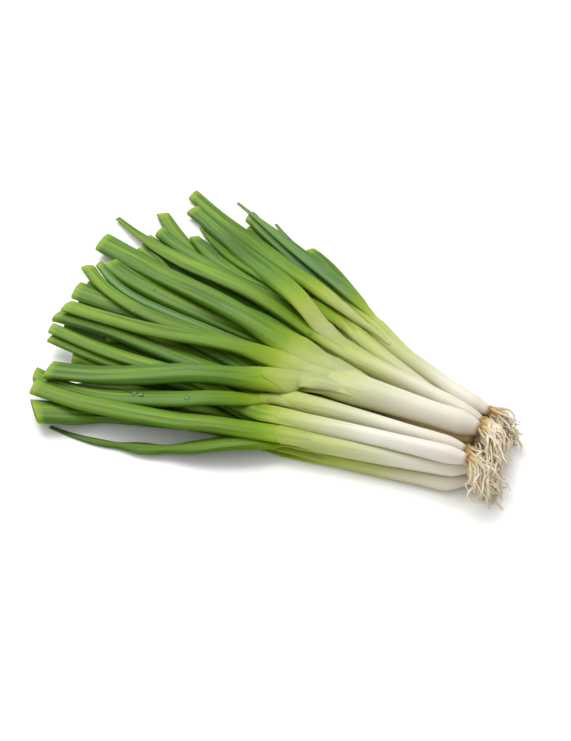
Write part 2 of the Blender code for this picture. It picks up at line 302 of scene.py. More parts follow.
def outline(rows, radii=None):
    """Points of the skin, one ring for each row."""
    radii = rows[:, 9:] if radii is None else radii
    sideways = (radii * np.cos(ANGLES))[:, :, None] * rows[:, None, 3:6]
    upwards = (radii * np.sin(ANGLES))[:, :, None] * rows[:, None, 6:9]
    return rows[:, None, 0:3] + sideways + upwards


# %% [markdown]
# A skin is one closed mesh made of rings. Besides its points it carries what its material needs: how old
# the tissue is, how far it is from the root plate and from a cut end, how strongly it is tinted tan, its
# tone, whether it faces up, which the painted light and shade follow, and a UV map in metres, around and
# along, for the fine lengthwise veins.

# %% Making a skin
FLOOR_CLEARANCE = 0.05 * MM
SHARP = math.radians(50)
FAR = 1.0
ELSEWHERE = {"from_root": FAR, "from_cut": FAR, "tan_tint": 0.0, "tone": 0.0}


def make_skin(name, rings, values, grain_along, material):
    """A closed mesh through the rings. values gives the numbers of each ring, or of each of its points."""
    rings = np.array(rings)
    rings[..., 2] = np.maximum(rings[..., 2], FLOOR_CLEARANCE)
    count = len(rings)
    points = np.vstack([rings.reshape(-1, 3), rings[0].mean(0), rings[-1].mean(0)])
    first = count * AROUND
    last = first + 1
    steps = np.linalg.norm(rings - np.roll(rings, 1, axis=1), axis=2)
    turns = np.cumsum(steps, axis=1) - steps[:, :1]
    whole = turns[:, -1:] + steps[:, :1]
    turns = np.hstack([turns, whole]) - whole / 2
    faces = []
    grain = []
    for k in range(count - 1):
        for m in range(AROUND):
            n = (m + 1) % AROUND
            faces.append((k * AROUND + m, k * AROUND + n, (k + 1) * AROUND + n, (k + 1) * AROUND + m))
            for row, column in ((k, m), (k, m + 1), (k + 1, m + 1), (k + 1, m)):
                grain.extend((turns[row, column], grain_along[row]))
    start = grain_along[0]
    end = grain_along[-1]
    for m in range(AROUND):
        n = (m + 1) % AROUND
        faces.append((first, n, m))
        grain.extend((0, start, turns[0, m + 1], start, turns[0, m], start))
        faces.append((last, first - AROUND + m, first - AROUND + n))
        grain.extend((0, end, turns[-1, m], end, turns[-1, m + 1], end))
    mesh = bpy.data.meshes.new(name)
    mesh.from_pydata(points.tolist(), [], faces)
    mesh.uv_layers.new(name="grain").uv.foreach_set("vector", np.array(grain, dtype=np.float32))
    upper = np.tile(np.sin(ANGLES), (count, 1))
    for label, numbers in (ELSEWHERE | {"upper": upper} | values).items():
        numbers = np.asarray(numbers, float)
        numbers = np.broadcast_to(numbers if numbers.ndim == 2 else numbers.reshape(-1, 1), (count, AROUND))
        every = np.concatenate([numbers.ravel(), [numbers[0].mean(), numbers[-1].mean()]])
        mesh.attributes.new(label, "FLOAT", "POINT").data.foreach_set("value", every.astype(np.float32))
    mesh.shade_smooth()
    mesh.set_sharp_from_angle(angle=SHARP)
    mesh.materials.append(material)
    skin = bpy.data.objects.new(name, mesh)
    bpy.context.scene.collection.objects.link(skin)
    check = bmesh.new()
    check.from_mesh(mesh)
    if check.calc_volume(signed=True) < 0:
        mesh.flip_normals()
    check.free()
    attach(skin, "root")
    return skin


# %% [markdown]
# The living skin is one tissue from root to tip, so stems and leaves share one recipe. Its ground colour
# follows its age: white where no light reached it underground, yellow-green at the neck, and full green a
# few centimetres further on. Other colours lie over that in thin coats, each only where it belongs. Broad
# streaks show where the wax bloom has rubbed off, and a painted highlight makes the bloom palest on top.
# Painted shade darkens the sides and undersides of the green leaves and tints the undersides of the pale
# parts olive. The pale neck shows the green veins of the sheaths inside it. Each coat is mixed in as far
# as its ranges let it, so one loop makes them all.

# %% Colours of living skin
AGE_REACH = 0.16
AGE_COLOURS = (
    (-0.110, "#E0DDD4"),
    (-0.070, "#DEDDCF"),
    (-0.045, "#C8C8AA"),
    (-0.025, "#B5BB81"),
    (-0.008, "#A2B058"),
    (0.005, "#889F25"),
    (0.015, "#6E8E0C"),
    (0.030, "#577A07"),
    (0.065, "#466C0A"),
    (0.150, "#436810"),
)
BLUISH = "#4C7B50"
YELLOWISH = "#749323"
DEEP_GREEN_AND_SHADE = "#2C4A04"
WAX_BLOOM_AND_HIGHLIGHT = "#8CAC38"
SHEATH_VEINS_AND_SHADE = "#A7A443"
BLUSH = "#D3C3B4"
TAN_TINT_COLOUR = "#DCC084"
ROOT_PLATE_BROWN = "#8F6627"
FRESH_CUT = "#9AB434"

# The width and the length of each pattern's marks, and its detail. Real veins are about half as far apart
# as these, which are drawn as coarse as they need to be to show.
STREAKS = {
    "rubbed wax": (3.0 * MM, 90 * MM, 2.0),
    "veins": (1.1 * MM, 70 * MM, 1.0),
    "fine lines": (0.45 * MM, 40 * MM, 0.0),
}

# A range names what is read, the two values between which it changes, and the coat's share at each of them.
GREEN = ("age", 0.0, 0.035, 0.0, 1.0)
PALE = ("age", 0.01, -0.02, 0.0, 1.0)
# Painted highlight: this range is strongest where the skin faces up.
PAINTED_TOP_HIGHLIGHT = ("upper", 0.3, 0.95, 0.0, 0.32)
COATS = (
    (BLUISH, ("tone", 0.0, -1.0, 0.0, 0.6), GREEN),
    (YELLOWISH, ("tone", 0.0, 1.0, 0.0, 0.7), GREEN),
    (DEEP_GREEN_AND_SHADE, ("rubbed wax", 0.50, 0.30, 0.0, 0.42), GREEN),
    # Painted shade: the green leaves are darker on their sides and darkest underneath.
    (DEEP_GREEN_AND_SHADE, ("upper", 0.40, -0.4, 0.0, 0.68), GREEN),
    # The wax bloom, painted as a highlight on the upper side only, where the wax is not rubbed off.
    (WAX_BLOOM_AND_HIGHLIGHT, PAINTED_TOP_HIGHLIGHT, ("age", 0.01, 0.09, 0.1, 1.0), ("rubbed wax", 0.38, 0.62, 0.1, 1.6)),
    (WAX_BLOOM_AND_HIGHLIGHT, ("veins", 0.55, 0.75, 0.0, 0.30), GREEN),
    (DEEP_GREEN_AND_SHADE, ("fine lines", 0.58, 0.42, 0.0, 0.12), GREEN),
    (SHEATH_VEINS_AND_SHADE, PALE, ("age", -0.06, -0.015, 0.3, 1.0), ("veins", 0.52, 0.34, 0.0, 0.42)),
    # Painted shade: the undersides of the pale parts are tinted olive.
    (SHEATH_VEINS_AND_SHADE, PALE, ("upper", 0.25, -0.65, 0.0, 0.62)),
    (BLUSH, ("from_root", 60 * MM, 0.0, 0.0, 0.55)),
    # A tan tint on a few stems, which fades out before the neck.
    (TAN_TINT_COLOUR, ("tan_tint", 0.0, 1.0, 0.0, 1.0)),
    (ROOT_PLATE_BROWN, ("from_root", 3.5 * MM, 0.8 * MM, 0.0, 0.85)),
    (FRESH_CUT, ("from_cut", 6 * MM, 0.0, 0.0, 0.6)),
)

# %% [markdown]
# Plant tissue is mostly water, so its index of refraction is a little above water's. Its wax makes the
# reflection soft and weak. Light passes a millimetre or two into the pale stem, least of all its blue part,
# which subsurface scattering gives, and the thin green leaf lets much less of it through. The veins and the
# rubbed wax also stand out a little, as relief.

# %% Skin of stems and leaves
TISSUE_IOR = 1.42
WAXY_REFLECTION = 0.28
LIGHT_SINKS_IN = 1.6 * MM
VEIN_RELIEF = 0.25 * MM


def living_skin(name, scatter, roughness):
    """A material of the coats above, which reads what each skin carries."""
    material, tree = new_material(name)
    read = {}
    for label in ("age", "upper", *ELSEWHERE):
        read[label] = add_node(tree, "ShaderNodeAttribute", attribute_name=label).outputs["Fac"]
    grain = add_node(tree, "ShaderNodeUVMap", uv_map="grain")
    for label, (width, length, detail) in STREAKS.items():
        drawn_out = {"Vector": grain, "Scale": (1 / width, 1 / length, 1)}
        marks = {"Vector": add_node(tree, "ShaderNodeMapping", drawn_out), "Scale": 1.0, "Detail": detail}
        read[label] = add_node(tree, "ShaderNodeTexNoise", marks)
    reach = {"Value": read["age"], "From Min": -AGE_REACH, "From Max": AGE_REACH}
    colour = add_node(tree, "ShaderNodeValToRGB", {"Fac": add_node(tree, "ShaderNodeMapRange", reach)})
    set_stops(colour, [((age + AGE_REACH) / (2 * AGE_REACH), shade) for age, shade in AGE_COLOURS])
    for coat, *ranges in COATS:
        share = 1.0
        for label, start, end, at_start, at_end in ranges:
            limits = {"From Min": start, "From Max": end, "To Min": at_start, "To Max": at_end}
            here = add_node(tree, "ShaderNodeMapRange", {"Value": read[label]} | limits)
            share = add_node(tree, "ShaderNodeMath", {0: share, 1: here}, operation="MULTIPLY")
        coating = {"Factor": share, 6: colour, 7: linear(coat)}
        colour = add_node(tree, "ShaderNodeMix", coating, data_type="RGBA")
    limits = {"From Min": 0.3, "From Max": 0.7, "To Min": roughness - 0.05, "To Max": roughness + 0.08}
    rough = add_node(tree, "ShaderNodeMapRange", {"Value": read["rubbed wax"]} | limits)
    raised = add_node(tree, "ShaderNodeMath", {0: read["rubbed wax"], 1: 0.8}, operation="MULTIPLY")
    relief = {0: read["veins"], 1: 0.6, 2: raised}
    relief = add_node(tree, "ShaderNodeMath", relief, operation="MULTIPLY_ADD")
    bump = add_node(tree, "ShaderNodeBump", {"Strength": 0.35, "Distance": VEIN_RELIEF, "Height": relief})
    finish = {
        "Base Color": colour,
        "Roughness": rough,
        "IOR": TISSUE_IOR,
        "Specular IOR Level": WAXY_REFLECTION,
        "Normal": bump,
        "Subsurface Weight": scatter,
        "Subsurface Radius": (1.0, 0.9, 0.45),
        "Subsurface Scale": LIGHT_SINKS_IN,
    }
    shader = add_node(tree, "ShaderNodeBsdfPrincipled", finish)
    add_node(tree, "ShaderNodeOutputMaterial", {"Surface": shader})
    return material


stem_skin = living_skin("moist white onion sheath", scatter=0.45, roughness=0.33)
leaf_skin = living_skin("waxy green onion leaf", scatter=0.10, roughness=0.42)
print("nodes in the skin's material:", len(leaf_skin.node_tree.nodes))

# %% [markdown]
# The colours start at a different place on each onion. The thick one on top stays pale well past its neck,
# and the ones at the lower edge are greenish far down their stems. Each leaf is also a little bluer or
# yellower than its neighbours, and a few stems are tinted tan towards the bulb. Distances are in millimetres
# past the neck, and a pair of numbers is an onion and its leaf.

# %% How each onion and each leaf differs
PALE_PAST_NECK = {1: -6, 2: -10, 3: 2, 4: 4, 5: 8, 6: 3, 7: -10, 8: 6, 9: -12, 10: 3, 11: 12}
PALE_LEAVES = {
    (11, 5): 22, (11, 3): 14, (11, 4): 20, (5, 5): 34, (8, 3): 36, (10, 3): 6, (6, 1): -4, (9, 1): -28,
    (9, 2): -28,
}
GREEN_DOWN_STEM = {1: 34, 2: 5, 3: 20, 4: 14, 5: 12, 6: 10, 7: 5, 8: 10, 9: 2, 10: 6, 11: 6}
TAN_TINT_SHARES = {3: 0.9, 7: 0.5, 2: 0.3, 4: 0.1}
TAN_TINT_FADES = (-75 * MM, -25 * MM)
ONION_TURNS = (-60 * MM, 20 * MM)
LEAF_TURNS = (-10 * MM, 20 * MM)
TONES = {
    (11, 1): -0.9, (11, 2): 0.6, (11, 3): -0.1, (11, 4): 0.5, (11, 5): -0.25, (5, 2): -0.8, (5, 3): -0.7,
    (5, 4): -0.8, (5, 5): 0.3, (8, 3): -0.3, (8, 4): 0.5, (6, 1): 0.0, (6, 2): 0.4, (1, 2): -0.1,
    (8, 1): -0.3, (3, 1): 0.5, (7, 1): -0.2, (2, 2): 0.2,
}
USUAL_TONES = (-0.35, 0.5)


def age_of(number, past_neck, leaf=0):
    """How green the tissue is, as the distance past the neck of a usual onion."""
    turned = smoothstep(past_neck, *ONION_TURNS)
    further = smoothstep(past_neck, *LEAF_TURNS)
    onion = PALE_PAST_NECK[number]
    own = PALE_LEAVES.get((number, leaf), onion) - onion
    paler = (onion * turned + own * further) * MM
    return past_neck - paler + GREEN_DOWN_STEM[number] * MM * (1 - turned)


# %% [markdown]
# A stem is a roll of sheaths, so it is round and plain, with a small bulb and a root plate at one end. The
# leaf bases inside make it swell towards the neck. At the neck itself it narrows inside them, and they come
# out through it one beside the other. A few bulb ends bend aside, and one stem is lifted by what it lies
# on: the solids are stiffer than that, so the cuts are moved a little before the skin is laid.

# %% White stems
ONIONS = 11
STEM_CUTS = 14
STEM_ROWS = 72
STEM_GROWS = 1.03
BULB_FULL_AT = 17 * MM
BULB_TAPERS = 2.2
ROOT_PLATE = 0.40
NECK_SINKS = ((0.0, 0.78), (8 * MM, 0.88), (18 * MM, 0.97), (30 * MM, 1.0), (1.0, 1.0))
NECK_SWELLS = {
    1: 1.08, 2: 1.2, 3: 1.9, 4: 1.3, 5: 1.0, 6: 1.12, 7: 1.3, 8: 1.18, 9: 1.2, 10: 1.22, 11: 1.3,
}
SWELLS_OVER = (-95 * MM, -25 * MM)
STEM_RISES = {3: 2.0 * MM}
# How far a bulb end bends aside, and over what length.
BULB_BENDS = {
    1: (5 * MM, 20 * MM), 2: (4 * MM, 20 * MM), 4: (-2 * MM, 40 * MM), 5: (-5.5 * MM, 60 * MM),
    6: (3 * MM, 18 * MM),
}
STRAIGHT = (0.0, 1 * MM)


def stem_rows(number):
    """The rows of a stem, how far along each is, and how far aside its bulb end lies."""
    rows, length = read_stalk(f"onion_{number}_stem", -1.0, STEM_CUTS)
    rows = refine(rows, STEM_ROWS)
    along = np.linspace(0, length, STEM_ROWS)
    swell = 1 + (NECK_SWELLS[number] - 1) * smoothstep(along - length, *SWELLS_OVER)
    rows[:, 9:] *= swell[:, None]
    aside, bends_over = BULB_BENDS.get(number, STRAIGHT)
    bend = aside * (1 - smoothstep(along, 0, bends_over))[:, None] * rows[:, 3:6]
    rows[:, 0:3] += bend
    rows[:, 2] += STEM_RISES.get(number, 0.0)
    return rows, along, bend[0]


def girths(rows, along):
    """The share of its width that each row of a stem keeps, to round the bulb and sink the neck."""
    sinks = np.interp(along[-1] - along, *zip(*NECK_SINKS))
    width = rows[:, 9:].mean(1)
    girth = width / np.interp(BULB_FULL_AT, along, width)
    short_of_full = 1 - np.clip(along / BULB_FULL_AT, 0, 1)
    rounding = 1 - (1 - ROOT_PLATE) * short_of_full**BULB_TAPERS
    return sinks * np.where(along < BULB_FULL_AT, rounding / np.minimum(girth, 1), 1)


stems = {}
for number in range(1, ONIONS + 1):
    rows, along, bend = stem_rows(number)
    stems[number] = {"rows": rows, "along": along, "bend": bend}
    past_neck = along - along[-1]
    values = {
        "age": age_of(number, past_neck),
        "from_root": along,
        "tan_tint": TAN_TINT_SHARES.get(number, 0.0) * (1 - smoothstep(past_neck, *TAN_TINT_FADES)),
    }
    rings = outline(rows, rows[:, 9:] * STEM_GROWS * girths(rows, along)[:, None])
    skin = make_skin(f"white_stem_{number}", rings, values, along + number, stem_skin)
    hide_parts(f"onion_{number}_stem")
print("stem lengths in mm:", [round(stem["along"][-1] / MM) for stem in stems.values()])

# %% [markdown]
# A leaf is a hollow, flattened tube. Far inside its stem it is one layer of the roll. Nearer the neck the
# rolled layers open out like a fan, so a leaf base grows through the skin of the stem without a step. All
# leaves of an onion are scaled by the same amount about the middle of the stem, so they keep their order.
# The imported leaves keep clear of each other, but real ones press together, so they are made wider here.

# %% Leaf bases
BACK = (50 * MM, 38 * MM, 27 * MM, 17 * MM, 8 * MM)
FULLY_INSIDE = 0.96
SMALLEST_REACH = 0.1 * MM
LEAF_CUTS = 12
BASE_ENDS = 50 * MM
BASE_WIDER = 1.75
BASE_THICKER = 1.12
THICK_ONION = 11
THICK_BASE_WIDER = 2.7
THICK_BASE_THICKER = 1.5
LEAF_WIDER = {2: 1.35, 3: 1.25, 4: 1.14, 7: 1.35}
LEAF_WIDER_ELSEWHERE = 1.05
LEAF_THICKER = 1.02


def stem_row(stem, distance):
    """The stem's row at a distance back from the neck."""
    place = stem["along"][-1] - distance
    return np.array([np.interp(place, stem["along"], column) for column in stem["rows"].T])


def free_rings(number, leaf, leaves_along):
    """The widened rings of a leaf from the neck on, and how far along each is."""
    rows, length = read_stalk(f"onion_{number}_leaf_{leaf}", -1.0, LEAF_CUTS, leaves_along)
    thick = number == THICK_ONION
    base_wider = THICK_BASE_WIDER if thick else BASE_WIDER
    base_thicker = THICK_BASE_THICKER if thick else BASE_THICKER
    along = np.linspace(0, length, LEAF_CUTS)
    free = smoothstep(along, 0, BASE_ENDS)[:, None, None]
    wider = base_wider + (LEAF_WIDER.get(number, LEAF_WIDER_ELSEWHERE) - base_wider) * free
    thicker = base_thicker + (LEAF_THICKER - base_thicker) * free
    away = outline(rows) - rows[:, None, 0:3]
    sideways = (away * rows[:, None, 3:6]).sum(2)[..., None] * rows[:, None, 3:6]
    return rows[:, None, 0:3] + sideways * wider + (away - sideways) * thicker, along


def seen_at_neck(stem, ring):
    """The points of a ring, as distances across and up from the middle of the stem's neck."""
    neck = stem_row(stem, 0)
    away = ring - neck[0:3]
    return np.column_stack([away @ neck[3:6], away @ neck[6:9]])


leaves = {}
for number, stem in stems.items():
    leaves_along = unit(stem["rows"][-1, 0:3] - stem["rows"][-3, 0:3])
    mine = [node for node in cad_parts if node.startswith(f"onion_{number}_leaf_")]
    bases = {}
    for leaf in range(1, len(mine) + 1):
        rings, along = free_rings(number, leaf, leaves_along)
        leaves[number, leaf] = {"rings": rings, "along": along, "back": []}
        bases[leaf] = seen_at_neck(stem, rings[0])
    every = np.vstack(list(bases.values()))
    reach = np.maximum(np.hypot(every[:, 0], every[:, 1]), SMALLEST_REACH)
    turn = np.arctan2(every[:, 1], every[:, 0])
    for distance in BACK:
        here = stem_row(stem, distance)
        room = np.interp(turn, ANGLES, here[9:], period=2 * math.pi) * FULLY_INSIDE
        inside = min(1.0, (room / reach).min())
        scale = 1 + (inside - 1) * smoothstep(distance, 0, BACK[0])
        for leaf, base in bases.items():
            sideways = np.outer(base[:, 0] * scale, here[3:6])
            upwards = np.outer(base[:, 1] * scale, here[6:9])
            leaves[number, leaf]["back"].append(here[0:3] + sideways + upwards)
print("leaves:", len(leaves))

# %% [markdown]
# The free part of a leaf isn't a plain round tube. It is creased along its length, with a broad top and a
# steeper side, and now and then a shallow groove. Some leaves also twist, which shows as a place where they
# look narrow or broad, or as a line that strays a few millimetres from the solid's.

# %% Shape of the free leaf
LEAF_ROWS = 70
CREASES_BEGIN = (5 * MM, 50 * MM)
CREASE_HEIGHTS = (0.15, 0.10)
CREASE_WIDTH = math.radians(15)
TOP_HOLLOW = 0.06
TOP_HOLLOW_WIDTH = 0.6
DEEPEST_GROOVE = 0.10
GROOVE_WIDTH = 0.2
RIPPLE = 0.02
# A twist's points are a share of the leaf's length, the way aside in millimetres, which is towards the
# camera where it is negative, and how many times wider the leaf looks there.
TWISTS = {
    (1, 2): ((0.0, 0, 1.0), (0.55, 0, 1.0), (0.72, -2, 0.75), (0.82, -4, 1.25), (1.0, -6, 1.35)),
    (5, 5): (
        (-0.1, 0, 1.0), (0.05, -2, 1.0), (0.2, -6, 1.05), (0.34, -7, 1.15), (0.5, -5, 1.2), (0.75, -2, 1.1),
        (1.0, 0, 1.1),
    ),
    (6, 1): (
        (0.0, 0, 1.0), (0.40, 0, 0.95), (0.50, 0, 0.45), (0.57, 0.5, 0.9), (0.63, 1, 1.0), (0.70, 1, 0.45),
        (0.78, 0.5, 0.9), (1.0, 0, 1.0),
    ),
    (6, 2): (
        (-0.1, 0, 1.0), (0.0, -1, 1.0), (0.2, -4, 1.0), (0.4, -6, 1.05), (0.65, -5, 1.1), (1.0, -3, 1.15),
    ),
    (8, 1): ((-0.1, 0, 1.0), (0.1, 1, 1.4), (0.32, 3, 1.7), (0.5, 0, 1.2), (1.0, 0, 1.0)),
    (8, 3): (
        (-0.1, 0, 1.1), (0.0, 0, 1.4), (0.15, -4, 1.3), (0.3, -5.5, 1.45), (0.45, -5, 1.5), (0.7, -3, 1.3),
        (1.0, 0, 1.1),
    ),
    (8, 4): ((0.2, 0, 1.0), (0.5, 0, 1.25), (1.0, 0, 1.6)),
    (10, 3): (
        (-0.1, 0, 1.0), (0.0, -1, 1.0), (0.2, -6, 1.1), (0.36, -7.5, 1.15), (0.55, -4, 1.15),
        (1.0, -2, 1.15),
    ),
    (11, 2): ((-0.12, 0, 1.0), (0.02, -1.5, 1.3), (0.12, 0, 1.0), (1.0, 0, 1.0)),
    (11, 3): ((-0.13, 0, 1.0), (0.01, 3, 1.5), (0.08, 2.5, 1.3), (0.22, 0, 1.2), (1.0, 0, 1.3)),
    (11, 5): ((-0.12, 0, 1.0), (0.01, -3, 1.5), (0.06, -2, 1.3), (0.14, 0, 1.1), (1.0, 0, 1.15)),
}
TWIST_SMOOTHING = np.array((1, 2, 3, 2, 1)) / 9


def creased(rings, centres, along, chance):
    """The rings with two creases, a hollow between them, a groove and a slow ripple."""
    free = smoothstep(along, *CREASES_BEGIN)[:, None]
    wave = np.sin(along * chance.uniform(14, 26) + chance.uniform(0, 6))[:, None]
    near_crease = math.radians(chance.uniform(142, 160)) + 0.22 * wave
    far_crease = math.radians(chance.uniform(-5, 25)) + 0.15 * wave
    shape = np.zeros((LEAF_ROWS, AROUND))
    for crease, height in zip((near_crease, far_crease), CREASE_HEIGHTS):
        apart = (ANGLES - crease + math.pi) % (2 * math.pi) - math.pi
        shape += height * np.exp(-((apart / CREASE_WIDTH) ** 2))
    top = (near_crease + far_crease) / 2
    shape -= TOP_HOLLOW * np.exp(-(((ANGLES - top) / TOP_HOLLOW_WIDTH) ** 2))
    depth = chance.uniform(0.0, DEEPEST_GROOVE)
    from_groove = ANGLES - top - chance.uniform(-0.4, 0.4)
    groove = depth * np.exp(-((from_groove / GROOVE_WIDTH) ** 2))
    ripple = RIPPLE * np.sin(along * chance.uniform(50, 90) + chance.uniform(0, 6))[:, None]
    return centres + (rings - centres) * (1 + (shape - groove + ripple) * free)[..., None]


def twisted(rings, centres, shares, twist):
    """The rings moved aside and widened, as a twist says for each share of the leaf's length."""
    where, aside, wider = np.array(twist).T
    edges = np.pad(shares, len(TWIST_SMOOTHING) // 2, "edge")
    aside = np.convolve(np.interp(edges, where, aside), TWIST_SMOOTHING, "valid") * MM
    wider = np.convolve(np.interp(edges, where, wider), TWIST_SMOOTHING, "valid")
    forward = np.gradient(centres[:, 0], axis=0)
    across = np.column_stack([forward[:, 1], -forward[:, 0], 0 * shares])
    across /= np.linalg.norm(across, axis=1)[:, None]
    sideways = ((rings - centres) * across[:, None]).sum(2)
    return rings + (sideways * (wider[:, None] - 1) + aside[:, None])[..., None] * across[:, None]


# %% [markdown]
# The knife leaves the far end of a leaf open, with a thin wall round a hollow that goes dark a centimetre
# further in. The skin turns back at the rim and runs inwards there, so it stays one closed mesh. A few
# leaves still have their own pointed end.

# %% Green leaves
POINTED = ((6, 1), (5, 2), (5, 4), (8, 4))
WALL = 0.55 * MM
THINNEST = 0.3
SLANT_REACH = 14 * MM
# How deep each ring inside the cut end lies, in millimetres, and the share of its width that it keeps.
HOLLOW = ((0.0, 1), (0.15, 1), (0.5, 1), (1.0, 1), (3.0, 1), (7.0, 0.95), (11.0, 0.75), (14.0, 0.3))
GRAIN_SHIFT = 0.37


def cut_open(rings, centres, along, chance):
    """The rings with a slanting cut end and the rings of the hollow inside it, and how far along each is."""
    length = along[-1]
    direction = unit(centres[-1, 0] - centres[-3, 0])
    side, up = across_and_up(direction)
    slant = side * chance.uniform(-0.4, 0.4) + up * chance.uniform(-0.1, 0.45)
    shift = ((rings - centres) @ slant) * smoothstep(along, length - SLANT_REACH, length)[:, None]
    rings = rings + shift[:, :, None] * direction
    centres = rings.mean(1, keepdims=True)
    inner = []
    inner_along = []
    for depth, closing in HOLLOW:
        back = length - depth * MM
        k = int(np.clip(np.searchsorted(along, back), 1, len(along) - 1))
        share = (back - along[k - 1]) / (along[k] - along[k - 1])
        ring = rings[k - 1] + (rings[k] - rings[k - 1]) * share
        centre = centres[k - 1] + (centres[k] - centres[k - 1]) * share
        reach = np.linalg.norm(ring - centre, axis=1)[:, None]
        wall = WALL * min(1.0, 0.5 + depth * 2)
        inner.append(centre + (ring - centre) * np.maximum(reach - wall, THINNEST * reach) / reach * closing)
        inner_along.append(back)
    return np.concatenate([rings, inner]), np.concatenate([along, inner_along])


def leaf_rings(number, leaf, chance):
    """The rings of one leaf, outside and in, how far along each is, and its distance from the cut."""
    found = leaves[number, leaf]
    table = np.concatenate([found["back"], found["rings"]])
    places = np.concatenate([-np.array(BACK), found["along"]])
    fine = refine(np.column_stack([places, table.reshape(len(table), -1)]), LEAF_ROWS)
    along = fine[:, 0]
    rings = fine[:, 1:].reshape(LEAF_ROWS, AROUND, 3)
    centres = rings.mean(1, keepdims=True)
    rings = creased(rings, centres, along, chance)
    if (number, leaf) in TWISTS:
        rings = twisted(rings, centres, along / along[-1], TWISTS[number, leaf])
        centres = rings.mean(1, keepdims=True)
    if (number, leaf) in POINTED:
        return rings, along, FAR
    rings, along = cut_open(rings, centres, along, chance)
    return rings, along, along[LEAF_ROWS - 1] - along


skins = {}
shapes = {}
for number, leaf in leaves:
    chance = np.random.default_rng(100 * number + leaf)
    rings, along, from_cut = leaf_rings(number, leaf, chance)
    shapes[number, leaf] = (rings[:LEAF_ROWS], along[:LEAF_ROWS])
    tone = TONES.get((number, leaf), chance.uniform(*USUAL_TONES))
    values = {"age": age_of(number, along, leaf), "tone": tone, "from_cut": from_cut}
    grain_along = along + GRAIN_SHIFT * leaf + number
    skin = make_skin(f"green_leaf_{number}_{leaf}", rings, values, grain_along, leaf_skin)
    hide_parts(f"onion_{number}_leaf_{leaf}")
    skins[number, leaf] = skin
print("triangles in a leaf:", 2 * len(skin.data.polygons))

# %% [markdown]
# Where a leaf leaves the roll, the older sheath round it ends in a thin pale lobe that hugs the leaf. The
# lobe is longest on top and short underneath. It follows the leaf's own skin a fraction of a millimetre
# outside it, so it bends with the leaf, and its free edge stands off a little.

# %% Sheath lobes
LOBE_REACHES = {
    (11, 5): 30, (11, 3): 24, (11, 4): 15, (5, 5): 22, (8, 3): 18, (8, 4): 12, (10, 3): 9, (10, 2): 5,
    (6, 2): 8, (4, 4): 10, (3, 4): 8, (1, 2): 8,
}
LOBE_ROWS = 16
LOBE_START = -26 * MM
LOBE_LIFT = 0.2 * MM
LOBE_EDGE_LIFT = 0.25 * MM
LOBE_INSIDE = 0.25
LOBE_TOP = math.radians(75)
LOBE_SHORTEST = 0.30
LOBE_WAVES = 0.6 * MM
LOBE_PALER = 4 * MM
LOBE_GRAIN = 60 * MM

outwards = [k / (LOBE_ROWS - 1) for k in range(LOBE_ROWS)]
outside_then_inside = [(share, 1.0) for share in outwards]
outside_then_inside += [(share, LOBE_INSIDE) for share in outwards[::-1]]
for (number, leaf), reach in LOBE_REACHES.items():
    rings, along = shapes[number, leaf]
    centres = rings.mean(1)
    facing_up = np.clip(np.cos((ANGLES - LOBE_TOP) * 0.8), 0, 1) ** 0.8
    ends = reach * MM * (LOBE_SHORTEST + (1 - LOBE_SHORTEST) * facing_up)
    ends = ends + LOBE_WAVES * np.sin(5 * ANGLES + leaf)
    shell = []
    ages = []
    for share, lifted in outside_then_inside:
        places = LOBE_START + (ends - LOBE_START) * share
        paths = [[np.interp(places[m], along, rings[:, m, c]) for c in range(3)] for m in range(AROUND)]
        skin_at = np.array(paths)
        centre_at = np.column_stack([np.interp(places, along, centres[:, c]) for c in range(3)])
        out = skin_at - centre_at
        lift = (LOBE_LIFT + LOBE_EDGE_LIFT * share**3) * lifted
        shell.append(skin_at + out / np.linalg.norm(out, axis=1)[:, None] * lift)
        ages.append(age_of(number, places, leaf) - LOBE_PALER * share)
    grain_along = np.linspace(0, LOBE_GRAIN, len(shell))
    make_skin(f"sheath_lobe_{number}_{leaf}", shell, {"age": ages}, grain_along, stem_skin)
print("sheath lobes:", len(LOBE_REACHES))

# %% [markdown]
# Roots are dozens of thin cream strands from each root plate. Dry root fibre is matt, and thin enough for
# some light to pass. It is brown at the plate, and that brown is also painted shade among the crowded
# bases of the strands. It is pale further out, and stained by soil in patches.

# %% Material of the roots
# The brown at the start of each strand is partly its own colour and partly painted shade.
ROOT_COLOURS = ((0.0, "#96692A"), (0.15, "#C2A468"), (0.45, "#E3DAC4"), (1.0, "#DDD2B6"))
ROOT_STAIN = "#A87E4E"
STAIN_SIZE = 2.857 * MM

root_material, tree = new_material("dry cream root fibre")
colour = add_node(tree, "ShaderNodeAttribute", attribute_name="share").outputs["Fac"]
colour = add_node(tree, "ShaderNodeValToRGB", {"Fac": colour})
set_stops(colour, ROOT_COLOURS)
place = add_node(tree, "ShaderNodeTexCoord").outputs["Object"]
patches = add_node(tree, "ShaderNodeTexNoise", {"Vector": place, "Scale": 1 / STAIN_SIZE, "Detail": 3.0})
limits = {"From Min": 0.5, "From Max": 0.8, "To Max": 0.5}
stained = add_node(tree, "ShaderNodeMapRange", {"Value": patches} | limits)
coating = {"Factor": stained, 6: colour, 7: linear(ROOT_STAIN)}
colour = add_node(tree, "ShaderNodeMix", coating, data_type="RGBA")
bump = add_node(tree, "ShaderNodeBump", {"Strength": 0.4, "Distance": 0.1 * MM, "Height": patches})
finish = {
    "Base Color": colour,
    "Roughness": 0.62,
    "Normal": bump,
    "Subsurface Weight": 0.25,
    "Subsurface Scale": 0.8 * MM,
}
shader = add_node(tree, "ShaderNodeBsdfPrincipled", finish)
add_node(tree, "ShaderNodeOutputMaterial", {"Surface": shader})

# %% [markdown]
# The strands wander, curl and lie over each other. Geometry Nodes grow them: the middle line of a packed
# tuft is copied once for each strand, every copy is pushed aside at random within the tuft's room, curled
# by noise and pulled down, cut to its own length, and given a thin round section that narrows to the tip.


